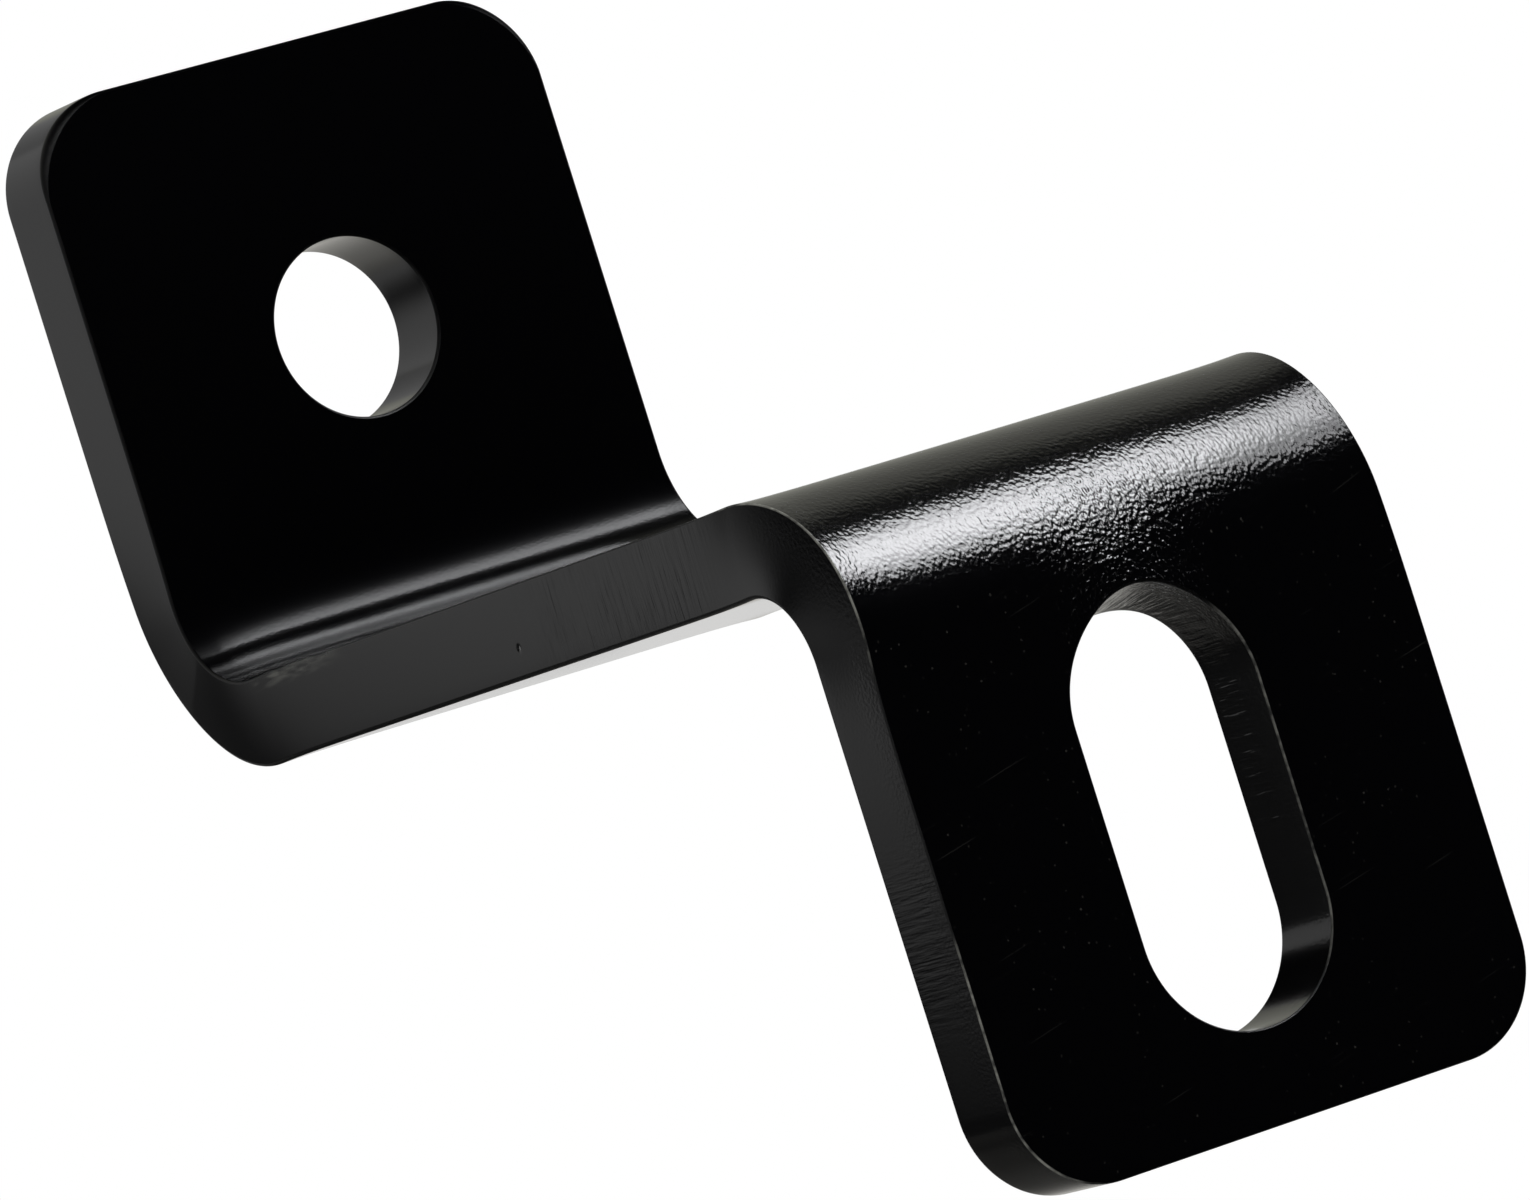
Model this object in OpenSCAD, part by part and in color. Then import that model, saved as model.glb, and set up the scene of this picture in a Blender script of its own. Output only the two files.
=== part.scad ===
// Offset mounting bracket: one flat steel strip folded twice, up at the back and down at the front.
// The origin is the middle of the round hole on the back face of the upper flange.
// X runs across the strip, -Y points to the front and +Z points up.

/* [Strip] */
// Width of the strip
strip_w = 40; // [32:1:60]
// Thickness of the strip
strip_t = 6; // [3:0.5:8]
// Radius of the four rounded corners at the strip's two ends
corner_r = 6.4; // [2:0.2:12]

/* [Web] */
// Distance between the front faces of the two flanges
step_depth = 82; // [40:1:120]

/* [Upper flange] */
// Height of the upper end above the web's top face
upper_h = 41; // [38:0.5:70]
// Inside radius of the fold between the web and the upper flange
upper_fold_r = 7; // [3:0.5:9]

/* [Lower flange] */
// Drop of the lower end below the web's top face
lower_h = 46.5; // [46:0.5:80]
// Inside radius of the fold between the web and the lower flange
lower_fold_r = 5; // [3:0.5:9]

/* [Bolt hole] */
// Diameter of the round hole in the upper flange
hole_d = 12.5; // [8:0.5:14]
// Distance from the upper end to the middle of the round hole
hole_to_end = 20; // [16:0.5:22]

/* [Slot] */
// Width of the slot in the lower flange
slot_w = 14; // [8:0.5:16]
// Length of the slot from end to end
slot_l = 28; // [18:0.5:30]
// Distance from the lower end to the middle of the slot
slot_to_end = 20; // [18:0.5:22]

/* [Hidden] */
$fn = 96;
coat_colour = "#17181a";

// How far a cutter stands out of the face that it cuts
past = 1;

// Heights of the strip's ends, faces and fold centres
upper_end_z = hole_to_end;
web_top_z = upper_end_z - upper_h;
web_bottom_z = web_top_z - strip_t;
lower_end_z = web_top_z - lower_h;
slot_z = lower_end_z + slot_to_end;
upper_fold_z = web_top_z + upper_fold_r;
lower_fold_z = web_bottom_z - lower_fold_r;

// Places of the flange faces and fold centres from back to front
upper_front_y = -strip_t;
lower_front_y = upper_front_y - step_depth;
lower_back_y = lower_front_y + strip_t;
upper_fold_y = upper_front_y - upper_fold_r;
lower_fold_y = lower_back_y + lower_fold_r;

// A quarter of a bent strip around its fold centre, from straight ahead (+x) down to -y
module fold_quarter(inner_r) {
    outer_r = inner_r + strip_t;
    intersection() {
        difference() {
            circle(outer_r);
            circle(inner_r);
        }
        translate([0, -outer_r])
            square(outer_r);
    }
}

// A straight stretch of the strip's section between two corners
module straight(from, to) {
    translate(from)
        square(to - from);
}

// The folded strip seen from its side, with x for front to back and y for height
module side_section() {
    straight([upper_front_y, upper_fold_z], [0, upper_end_z]);
    translate([upper_fold_y, upper_fold_z])
        fold_quarter(upper_fold_r);
    straight([lower_fold_y, web_bottom_z], [upper_fold_y, web_top_z]);
    translate([lower_fold_y, lower_fold_z])
        rotate(180)
            fold_quarter(lower_fold_r);
    straight([lower_front_y, lower_end_z], [lower_back_y, lower_fold_z]);
}

// The waste outside one rounded corner, drawn around the corner's tip.
// hand is 1 at the right and -1 at the left; side is 1 at an upper end and -1 at a lower end.
module corner_waste(hand, side) {
    difference() {
        square(2 * corner_r, center = true);
        translate([-hand * corner_r, -side * corner_r])
            circle(corner_r);
    }
}

// Rounds both corners of the strip's end at height z
module round_end(z, back_y, side) {
    for (hand = [-1, 1])
        translate([hand * strip_w / 2, back_y + past, z])
            rotate([90, 0, 0])
                linear_extrude(strip_t + 2 * past)
                    corner_waste(hand, side);
}

// The round bolt hole through the upper flange
module bolt_hole() {
    translate([0, past, 0])
        rotate([90, 0, 0])
            cylinder(h = strip_t + 2 * past, d = hole_d);
}

// The upright slot through the lower flange
module slot() {
    arc_to_middle = (slot_l - slot_w) / 2;
    translate([0, lower_back_y + past, slot_z])
        rotate([90, 0, 0])
            linear_extrude(strip_t + 2 * past)
                union() {
                    square([slot_w, 2 * arc_to_middle], center = true);
                    for (end = [-1, 1])
                        translate([0, end * arc_to_middle])
                            circle(d = slot_w);
                }
}

// The whole bracket
module bracket() {
    color(coat_colour)
        difference() {
            translate([-strip_w / 2, 0, 0])
                rotate([90, 0, 90])
                    linear_extrude(strip_w)
                        side_section();
            round_end(upper_end_z, 0, 1);
            round_end(lower_end_z, lower_back_y, -1);
            bolt_hole();
            slot();
        }
}

bracket();
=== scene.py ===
"""Offset mounting bracket: a thick steel strip folded twice into a step and coated satin black."""

import math

import bmesh
import bpy
import numpy as np
from bpy.props import FloatProperty, FloatVectorProperty, PointerProperty
from mathutils import Matrix, Vector
from mathutils.geometry import delaunay_2d_cdt


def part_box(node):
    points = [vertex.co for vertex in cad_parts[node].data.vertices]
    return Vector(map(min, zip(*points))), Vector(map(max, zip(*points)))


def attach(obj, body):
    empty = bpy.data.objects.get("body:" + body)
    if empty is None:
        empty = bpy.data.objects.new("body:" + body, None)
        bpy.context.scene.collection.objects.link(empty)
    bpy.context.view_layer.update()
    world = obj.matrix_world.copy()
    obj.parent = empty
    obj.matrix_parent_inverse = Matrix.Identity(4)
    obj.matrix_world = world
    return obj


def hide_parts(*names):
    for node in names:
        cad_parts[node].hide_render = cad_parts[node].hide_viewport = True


bl_info = {
    "name": "Offset mounting bracket",
    "version": (1, 0, 0),
    "blender": (4, 5, 0),
    "location": "3D View > Sidebar > Bracket",
    "description": "Builds a folded steel bracket with a satin black coat, and a plain studio round it",
    "category": "Add Mesh",
}

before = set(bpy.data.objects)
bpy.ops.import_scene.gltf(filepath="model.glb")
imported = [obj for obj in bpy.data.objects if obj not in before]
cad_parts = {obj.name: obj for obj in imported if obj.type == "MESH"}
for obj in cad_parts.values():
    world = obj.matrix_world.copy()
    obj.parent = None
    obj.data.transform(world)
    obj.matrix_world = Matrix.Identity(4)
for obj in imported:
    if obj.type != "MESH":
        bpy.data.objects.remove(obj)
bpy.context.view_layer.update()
STRIP_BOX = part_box("bracket")

MM = 0.001
QUARTER_TURN = math.pi / 2
WHITE = "#ffffff"
BLACK = "#000000"
PALE = "#fffff2"
# The kinds of node that are used most, and the setting that makes a mapped range ease in and out.
MATH, VECTOR_MATH, MAP_RANGE = "ShaderNodeMath", "ShaderNodeVectorMath", "ShaderNodeMapRange"
NOISE, SEPARATE = "ShaderNodeTexNoise", "ShaderNodeSeparateXYZ"
SMOOTH = {"interpolation_type": "SMOOTHSTEP"}


def linear(hex_colour):
    """An sRGB hex colour as linear red, green, blue and alpha."""
    parts = [int(hex_colour[i : i + 2], 16) / 255 for i in (1, 3, 5)]
    return (*[c / 12.92 if c <= 0.04045 else ((c + 0.055) / 1.055) ** 2.4 for c in parts], 1.0)


def length(name, text, default_mm):
    """A length property. Its default is given in millimetres."""
    return FloatProperty(name=name, description=text, default=default_mm * MM, unit="LENGTH", precision=5)


def number(name, text, default):
    """A plain number that isn't negative."""
    return FloatProperty(name=name, description=text, default=default, min=0)


def colour(name, text, hex_colour):
    """A colour property."""
    return FloatVectorProperty(
        name=name, description=text, subtype="COLOR", size=4, min=0, max=1, default=linear(hex_colour)
    )


class StripSizes(bpy.types.PropertyGroup):
    """Sizes of the folded strip."""

    width: length("Width", "Width of the strip", (STRIP_BOX[1] - STRIP_BOX[0])[0] / MM)
    thickness: length("Thickness", "Thickness of the strip", 6)
    corner: length("Corner radius", "Radius of the four corners", 6.4)
    upper_top: length("Upper end", "Height of the upper end above the hole's middle", STRIP_BOX[1][2] / MM)
    lower_end: length("Lower end", "Depth of the lower end below the hole's middle", -STRIP_BOX[0][2] / MM)
    front: length("Front", "Distance of the front face from the mounting face", -STRIP_BOX[0][1] / MM)
    web_top: length("Web", "Depth of the web's top face below the hole's middle", 21)
    upper_fold: length("Upper fold", "Inside radius of the upper fold", 7)
    lower_fold: length("Lower fold", "Inside radius of the lower fold", 5)


class OpeningSizes(bpy.types.PropertyGroup):
    """Sizes of the round hole and the slot."""

    hole: length("Hole", "Diameter of the round hole", 12.5)
    slot_width: length("Slot width", "Width of the slot", 14)
    slot_length: length("Slot length", "Whole length of the slot", 28)
    slot_to_end: length("Slot to end", "Distance of the slot's middle from the lower end", 20)


class EdgeSizes(bpy.types.PropertyGroup):
    """How far cutting and folding have changed the edges."""

    upper_front: length("Upper edge", "Rounding of the upper flange's front edges", 0.25)
    corner_roll: length("Corner roll", "Extra rounding where cutting has rolled the upper corners", 0.5)
    lower_front: length("Lower edge", "Rounding of the lower flange's front edges", 0.14)
    back: length("Back edge", "Rounding of the back edges", 0.3)
    slot_rolled: length("Slot edge", "Extra rounding where the fold has pulled the slot's upper edge", 0.12)
    slot_pull: length("Slot pull", "How far the lower fold pulls the slot's upper end along each face", 0.6)
    slot_lift: length("Slot lift", "How far the steel above the slot stands out in front", 0.5)
    draw_in: length("Draw-in", "How far each side moves in on the outside of a fold", 0.6)
    bulge: length("Bulge", "How far each side moves out on the inside of a fold", 0.2)
    curl: length("Curl", "How far the sides curl away from the middle of a fold", 0.35)


class CoatColours(bpy.types.PropertyGroup):
    """Colours of the coat."""

    black: colour("Black", "Colour of the coat", "#030304")
    dust: colour("Dust", "Colour of dust and fine scratches", "#8a8880")
    # The pale line's colour: thin coat on sharp edges, and a painted highlight on the edges that face left.
    thin_coat_and_highlight: colour("Worn edge", "Colour of the thin coat along sharp edges", "#86867f")


class StudioSizes(bpy.types.PropertyGroup):
    """The studio's light and floor."""

    floor_below: length("Floor", "Distance of the floor below the bracket", 160)
    box_distance: length("Softbox distance", "Distance of the softbox from the lower fold", 900)
    box_light: number("Softbox light", "Radiance of the softbox on plain surfaces, white being 1", 3)
    box_shine: number("Softbox shine", "Radiance of the softbox's middle in reflections", 18)
    surround: number("Surround", "Radiance of the ceiling and the wall behind in reflections", 0.37)
    side_wall: number("Side wall", "Radiance of the wall behind on the left in reflections", 0.5)


class BracketSettings(bpy.types.PropertyGroup):
    """All settings of the bracket."""

    strip: PointerProperty(type=StripSizes)
    openings: PointerProperty(type=OpeningSizes)
    edges: PointerProperty(type=EdgeSizes)
    coat: PointerProperty(type=CoatColours)
    studio: PointerProperty(type=StudioSizes)


def add(tree, kind, inputs=(), **settings):
    """Adds a node and sets it up. Its inputs, by place or by name, take values, sockets or whole nodes."""
    node = tree.nodes.new(kind)
    for name, value in settings.items():
        setattr(node, name, value)
    for key, value in inputs.items() if isinstance(inputs, dict) else enumerate(inputs):
        if isinstance(value, bpy.types.Node):
            value = value.outputs[0]
        if isinstance(value, bpy.types.NodeSocket):
            tree.links.new(value, node.inputs[key])
        else:
            node.inputs[key].default_value = value
    return node


# The flat blank. A point of it is (across, along, depth): along runs from the upper end to the lower
# one at mid thickness, and depth is positive towards the side that faces forwards and upwards.


class Folds:
    """Where the strip's folds start and end, measured along its middle."""

    def __init__(self, strip):
        half = strip.thickness / 2
        self.upper_radius = strip.upper_fold + half
        self.lower_radius = strip.lower_fold + half
        self.upper_start = strip.upper_top + strip.web_top - strip.upper_fold
        self.upper_end = self.upper_start + self.upper_radius * QUARTER_TURN
        web = strip.front - 2 * strip.thickness - strip.upper_fold - strip.lower_fold
        self.lower_start = self.upper_end + web
        self.lower_end = self.lower_start + self.lower_radius * QUARTER_TURN
        self.flange_end = (
            self.lower_end + strip.lower_end - strip.web_top - strip.thickness - strip.lower_fold
        )


# How finely the blank is divided.
FOLD_ROWS = 45
COLUMNS = 33
END_POINTS = 40
CORNER_POINTS = 28
ROUND_POINTS = 64
FLAT_STEP = 1.6 * MM
SIDE_STEP = 0.8 * MM
OPENING_STEP = 0.5 * MM
EDGE_STEPS = 6
WALL_STEPS = 6


def rows_along(folds, first, last, step):
    """Places along the strip from first to last: close together in the folds, a step apart elsewhere."""
    stops = [first, folds.upper_start, folds.upper_end, folds.lower_start, folds.lower_end, last]
    rows = []
    for i, (a, b) in enumerate(zip(stops, stops[1:])):
        count = FOLD_ROWS if i in (1, 3) else max(1, round((b - a) / step))
        rows += list(np.linspace(a, b, count + 1)[:-1])
    return rows + [last]


def arc(centre, radius, start, end, count):
    """Points and outward directions on an arc, angles in degrees, both ends included."""
    turns = np.radians(np.linspace(start, end, count + 1))
    out = np.c_[np.cos(turns), np.sin(turns)]
    return np.array(centre) + radius * out, out


def straight(across, along, direction):
    """Points on a straight edge and its outward direction at each of them."""
    shape = np.shape(across + along)
    points = np.c_[np.broadcast_to(across, shape), np.broadcast_to(along, shape)]
    return points, np.tile(direction, (len(points), 1))


def outline(strip, folds):
    """The blank's outline, once round, and its outward directions."""
    half, corner, far = strip.width / 2, strip.corner, folds.flange_end
    side = np.array(rows_along(folds, corner, far - corner, SIDE_STEP))
    end = np.linspace(-half + corner, half - corner, END_POINTS)
    pieces = [
        straight(end, 0.0, (0.0, -1.0)),
        arc((half - corner, corner), corner, -90, 0, CORNER_POINTS),
        straight(half, side, (1.0, 0.0)),
        arc((half - corner, far - corner), corner, 0, 90, CORNER_POINTS),
        straight(end[::-1], far, (0.0, 1.0)),
        arc((-half + corner, far - corner), corner, 90, 180, CORNER_POINTS),
        straight(-half, side[::-1], (-1.0, 0.0)),
        arc((-half + corner, corner), corner, 180, 270, CORNER_POINTS),
    ]
    # Each piece ends where the next one starts, so its last point is left out.
    return np.vstack([p[:-1] for p, _ in pieces]), np.vstack([n[:-1] for _, n in pieces])


def round_opening(centre_along, radius, side):
    """A round hole, or a slot with straight sides of that length, and directions into the opening."""
    upper, lower = centre_along - side / 2, centre_along + side / 2
    lower_arc = arc((0.0, lower), radius, 0, 180, ROUND_POINTS)
    pieces = [lower_arc, arc((0.0, upper), radius, 180, 360, ROUND_POINTS)]
    if side > 0:
        rows = np.linspace(upper, lower, max(2, round(side / OPENING_STEP)) + 1)
        pieces.insert(1, straight(-radius, rows[::-1], (-1.0, 0.0)))
        pieces.append(straight(radius, rows, (1.0, 0.0)))
    return np.vstack([p[:-1] for p, _ in pieces]), -np.vstack([n[:-1] for _, n in pieces])


def edge_profile(front, back, thickness):
    """Stations round a cut edge from the front face to the back face: inset, depth and share of wall."""
    half = thickness / 2
    turns = np.linspace(0, QUARTER_TURN, EDGE_STEPS + 1)
    stations = []
    for a in turns:
        stations.append((front * (1 - math.sin(a)), half - front * (1 - math.cos(a)), a / QUARTER_TURN))
    for step in range(1, WALL_STEPS):
        share = step / WALL_STEPS
        stations.append((0.0, (half - front) * (1 - share) + (back - half) * share, 1.0))
    for a in turns[::-1]:
        stations.append((back * (1 - math.sin(a)), -half + back * (1 - math.cos(a)), a / QUARTER_TURN))
    return stations


class Blank:
    """Collects the flat blank's points and faces. Each point also keeps two numbers for the coat: its share
    of wall (0 on a face, 1 on a cut wall), and how far its cut edge faces the strip's left side."""

    def __init__(self, thickness):
        self.thickness = thickness
        self.points, self.cuts, self.faces = [], [], []
        self.front_loops, self.back_loops = [], []

    def add_points(self, points, cuts):
        first = len(self.points)
        self.points += [tuple(p) for p in points]
        self.cuts += [tuple(c) for c in cuts]
        return list(range(first, len(self.points)))

    def cut_edge(self, points, outward, front, back):
        """A cut edge all round a loop, with its rounding at front and back, which may differ by point."""
        front, back = (np.broadcast_to(size, len(points)) for size in (front, back))
        stations = np.array([edge_profile(f, b, self.thickness) for f, b in zip(front, back)])
        rings = []
        for inset, depth, wall in stations.transpose(1, 2, 0):
            placed = np.hstack([points - outward * inset[:, None], depth[:, None]])
            rings.append(self.add_points(placed, np.c_[wall, -outward[:, 0], np.zeros(len(wall))]))
        for a, b in zip(rings, rings[1:]):
            self.faces += zip(a, a[1:] + a[:1], b[1:] + b[:1], b)
        self.front_loops.append(rings[0])
        self.back_loops.append(rings[-1])

    def flat_side(self, loops, depth, inner):
        """Fills one side between its loops with triangles through the inner points."""
        used = [i for loop in loops for i in loop]
        used += self.add_points(np.c_[inner, np.full(len(inner), depth)], np.zeros((len(inner), 3)))
        # In millimetres, so that the tolerance below is small beside every distance.
        flat = [Vector(self.points[i][:2]) / MM for i in used]
        edges, loop_of, first = [], {}, 0
        for which, loop in enumerate(loops):
            edges += [(first + i, first + (i + 1) % len(loop)) for i in range(len(loop))]
            loop_of.update({first + i: which for i in range(len(loop))})
            first += len(loop)
        tolerance = 1e-7
        _, _, triangles, sources, _, _ = delaunay_2d_cdt(flat, edges, [], 1, tolerance)
        for triangle in triangles:
            corners = [sources[i][0] for i in triangle]
            touched = {loop_of.get(i, -1) for i in corners}
            # A triangle that touches only one opening's edge lies in that opening, and is left out.
            if len(touched) > 1 or touched <= {-1, 0}:
                self.faces.append(tuple(used[i] for i in corners))


def clear_of_edges(strip, openings, folds, grid):
    """Which points of a grid on the blank lie at least a step inside its outline and outside its openings."""
    across, along = np.abs(grid[:, 0]), grid[:, 1]
    corner_x = across - (strip.width / 2 - strip.corner)
    middle = folds.flange_end / 2
    corner_s = np.abs(along - middle) - (middle - strip.corner)
    in_corner = (corner_x > 0) & (corner_s > 0)
    clear = ~in_corner | (np.hypot(corner_x, corner_s) < strip.corner - FLAT_STEP)
    clear &= np.hypot(across, along - strip.upper_top) > openings.hole / 2 + FLAT_STEP
    slot_middle = folds.flange_end - openings.slot_to_end
    straight_half = (openings.slot_length - openings.slot_width) / 2
    past_straight = np.maximum(np.abs(along - slot_middle) - straight_half, 0)
    return clear & (np.hypot(across, past_straight) > openings.slot_width / 2 + FLAT_STEP)


def flat_blank(settings, folds):
    """The flat blank as a closed mesh, with its corners, hole, slot and rounded edges."""
    strip, openings, edges = settings.strip, settings.openings, settings.edges
    blank = Blank(strip.thickness)
    points, outward = outline(strip, folds)
    change = np.clip((points[:, 1] - folds.upper_start) / (folds.upper_end - folds.upper_start), 0, 1)
    front = edges.upper_front + (edges.lower_front - edges.upper_front) * change
    # Cutting has rolled the upper end's corners most. Twice the product of the outward direction's two
    # parts is 1 half way round a corner.
    at_corner = 2 * np.abs(outward[:, 0] * outward[:, 1]) * (points[:, 1] < folds.upper_start)
    front = front + edges.corner_roll * at_corner
    blank.cut_edge(points, outward, front, edges.back)

    hole, into_hole = round_opening(strip.upper_top, openings.hole / 2, 0.0)
    blank.cut_edge(hole, into_hole, edges.upper_front, edges.back)

    slot_middle = folds.flange_end - openings.slot_to_end
    side = openings.slot_length - openings.slot_width
    slot, into_slot = round_opening(slot_middle, openings.slot_width / 2, side)
    # The middle and the spread of the rolled part of the slot's edge, in degrees from its right side
    # towards its top.
    middle, spread = 65, 40
    turn = np.degrees(np.arctan2(into_slot[:, 1], -into_slot[:, 0]))
    rolled = edges.lower_front + edges.slot_rolled * np.exp(-(((turn - middle) / spread) ** 2))
    blank.cut_edge(slot, into_slot, rolled, edges.back)

    half = strip.width / 2
    rows = rows_along(folds, FLAT_STEP, folds.flange_end - FLAT_STEP, FLAT_STEP)
    # The columns lie closer together near the sides, where folding has curled the strip.
    crowding = 0.8
    turns = np.linspace(-QUARTER_TURN, QUARTER_TURN, COLUMNS) * crowding
    columns = (half - FLAT_STEP) * np.sin(turns) / math.sin(QUARTER_TURN * crowding)
    grid = np.array([(x, s) for s in rows for x in columns])
    grid = grid[clear_of_edges(strip, openings, folds, grid)]
    blank.flat_side(blank.front_loops, strip.thickness / 2, grid)
    blank.flat_side(blank.back_loops, -strip.thickness / 2, grid)

    flat = np.array(blank.points)
    placed = np.c_[flat[:, 0], -strip.thickness / 2 - flat[:, 2], strip.upper_top - flat[:, 1]]
    mesh = bpy.data.meshes.new("flat_blank")
    mesh.from_pydata([tuple(p) for p in placed], [], blank.faces)
    for name, values in (("blank", flat), ("cut", blank.cuts)):
        mesh.attributes.new(name, "FLOAT_VECTOR", "POINT").data.foreach_set("vector", np.ravel(values))
    return mesh


def face_outwards(mesh):
    """Turns every face of a closed mesh outwards."""
    work = bmesh.new()
    work.from_mesh(mesh)
    bmesh.ops.recalc_face_normals(work, faces=work.faces)
    work.to_mesh(mesh)
    work.free()


def new_group(name, kinds, result):
    """A geometry node tree, its inputs by name and kind, and an output named like one."""
    tree = bpy.data.node_groups.new(name, "GeometryNodeTree")
    for socket, kind in kinds.items():
        tree.interface.new_socket(socket, in_out="INPUT", socket_type=f"NodeSocket{kind}")
    tree.interface.new_socket(result, in_out="OUTPUT", socket_type=f"NodeSocket{kinds[result]}")
    return tree, add(tree, "NodeGroupInput").outputs


def product(tree, *values):
    """All values multiplied together."""
    result = values[0]
    for value in values[1:]:
        result = add(tree, MATH, (result, value), operation="MULTIPLY")
    return result


def window(tree, value, start, full, fading, end):
    """1 between full and fading, 0 before start and after end, and smooth between."""
    rising = add(tree, MAP_RANGE, (value, start, full, 0.0, 1.0), **SMOOTH)
    falling = add(tree, MAP_RANGE, (value, fading, end, 1.0, 0.0), **SMOOTH)
    return product(tree, rising, falling)


def hump(tree, value, centre, width):
    """A smooth hump of height 1 round a centre."""
    off = add(tree, MATH, (value, centre), operation="SUBTRACT")
    share = add(tree, MATH, (off, width), operation="DIVIDE")
    return add(tree, MATH, (product(tree, share, share, -1.0),), operation="EXPONENT")


def fold_group():
    """A node group that folds a strip by a quarter turn round a line across it."""
    kinds = {"Position": "Vector", "Along": "Float", "Start": "Float", "Radius": "Float", "Line": "Vector"}
    tree, given = new_group("Quarter fold", kinds | {"Direction": "Float"}, "Position")
    past_start = add(tree, MATH, (given["Along"], given["Start"]), operation="SUBTRACT")
    beyond = add(tree, MATH, (past_start, 0.0), operation="MAXIMUM")
    whole = product(tree, given["Radius"], QUARTER_TURN)
    used_up = add(tree, MATH, (beyond, whole), operation="MINIMUM")
    lift = add(tree, "ShaderNodeCombineXYZ", {"Z": used_up})
    lifted = add(tree, VECTOR_MATH, (given["Position"], lift), operation="ADD")
    turn = add(tree, MATH, (used_up, given["Radius"]), operation="DIVIDE")
    inputs = {"Vector": lifted, "Center": given["Line"], "Angle": product(tree, turn, given["Direction"])}
    turned = add(tree, "ShaderNodeVectorRotate", inputs, rotation_type="X_AXIS")
    add(tree, "NodeGroupOutput", {"Position": turned})
    return tree


def side_shift(tree, across, depth, near, front, back):
    """How far a fold moves the strip's sides out, by other amounts at its front and its back face. The shift
    grows with the fourth power of the distance from the strip's middle."""
    mean = product(tree, add(tree, MATH, (front, back), operation="ADD"), 0.5)
    lean = product(tree, add(tree, MATH, (front, back), operation="SUBTRACT"), 0.5)
    amount = add(tree, MATH, (depth, lean, mean), operation="MULTIPLY_ADD")
    distance = add(tree, MATH, (across,), operation="ABSOLUTE")
    growth = add(tree, MATH, (distance, 4.0), operation="POWER")
    return product(tree, amount, near, growth, add(tree, MATH, (across,), operation="SIGN"))


def folding_tree(values):
    """The tree that works a flat blank's sides and slot, and folds it twice, with an input for each value."""
    kinds = {float: "Float", tuple: "Vector", bpy.types.Material: "Material"}
    inputs = {"Geometry": "Geometry"} | {name: kinds[type(value)] for name, value in values.items()}
    tree, given = new_group("Folded strip", inputs, "Geometry")
    blank = add(tree, "GeometryNodeInputNamedAttribute", {"Name": "blank"}, data_type="FLOAT_VECTOR")
    place = add(tree, SEPARATE, (blank,)).outputs
    across = add(tree, MATH, (place["X"], given["Half width"]), operation="DIVIDE")
    depth = add(tree, MATH, (place["Z"], given["Half thickness"]), operation="DIVIDE")

    # The lower fold has pulled the slot's upper end up along the front face and down along the back face,
    # and has left the steel above it standing out a little, most just left of its middle.
    reach, middle, spread = 3.0 * MM, -0.5 * MM, 4.5 * MM
    at_top = hump(tree, place["Y"], given["Slot top"], reach)
    near_slot = product(tree, at_top, hump(tree, place["X"], middle, spread))
    upwards = product(tree, depth, given["Slot pull"], near_slot)
    along = add(tree, MATH, (place["Y"], upwards), operation="SUBTRACT")

    # Each fold draws the sides in on its outside, bulges them on its inside and curls them outwards. The
    # curl grows with the eighth power of the distance from the middle, so only the sides have it.
    drawn = product(tree, given["Draw in"], -1.0)
    distance = add(tree, MATH, (across,), operation="ABSOLUTE")
    at_sides = add(tree, MATH, (distance, 8.0), operation="POWER")
    shifts, curls = [], []
    for fold, front, back in (("Upper", given["Bulge"], drawn), ("Lower", drawn, given["Bulge"])):
        half_arc = product(tree, given[f"{fold} radius"], QUARTER_TURN / 2)
        centre = add(tree, MATH, (given[f"{fold} start"], half_arc), operation="ADD")
        near = hump(tree, along, centre, half_arc)
        shifts.append(side_shift(tree, across, depth, near, front, back))
        curls.append(product(tree, near, at_sides))
    sideways = add(tree, MATH, shifts, operation="ADD")
    curl = add(tree, MATH, curls, operation="SUBTRACT")
    curled, lifted = product(tree, curl, given["Curl"]), product(tree, near_slot, given["Slot lift"])
    backwards = add(tree, MATH, (curled, lifted), operation="SUBTRACT")
    moves = add(tree, "ShaderNodeCombineXYZ", (sideways, backwards, upwards))
    unmoved = add(tree, "GeometryNodeInputPosition")
    position = add(tree, VECTOR_MATH, (unmoved, moves), operation="ADD")

    group = fold_group()
    for fold, direction in (("Lower", 1.0), ("Upper", -1.0)):
        inputs = {"Position": position, "Along": along, "Direction": direction}
        inputs |= {name: given[f"{fold} {name.lower()}"] for name in ("Start", "Radius", "Line")}
        position = add(tree, "GeometryNodeGroup", inputs, node_tree=group)
    moved = add(tree, "GeometryNodeSetPosition", {"Geometry": given["Geometry"], "Position": position})
    smooth = add(tree, "GeometryNodeSetShadeSmooth", {"Geometry": moved})
    real = add(tree, "GeometryNodeRealizeInstances", {"Geometry": smooth})
    coated = add(tree, "GeometryNodeSetMaterial", {"Geometry": real, "Material": given["Coat"]})
    add(tree, "NodeGroupOutput", {"Geometry": coated})
    return tree


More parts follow.
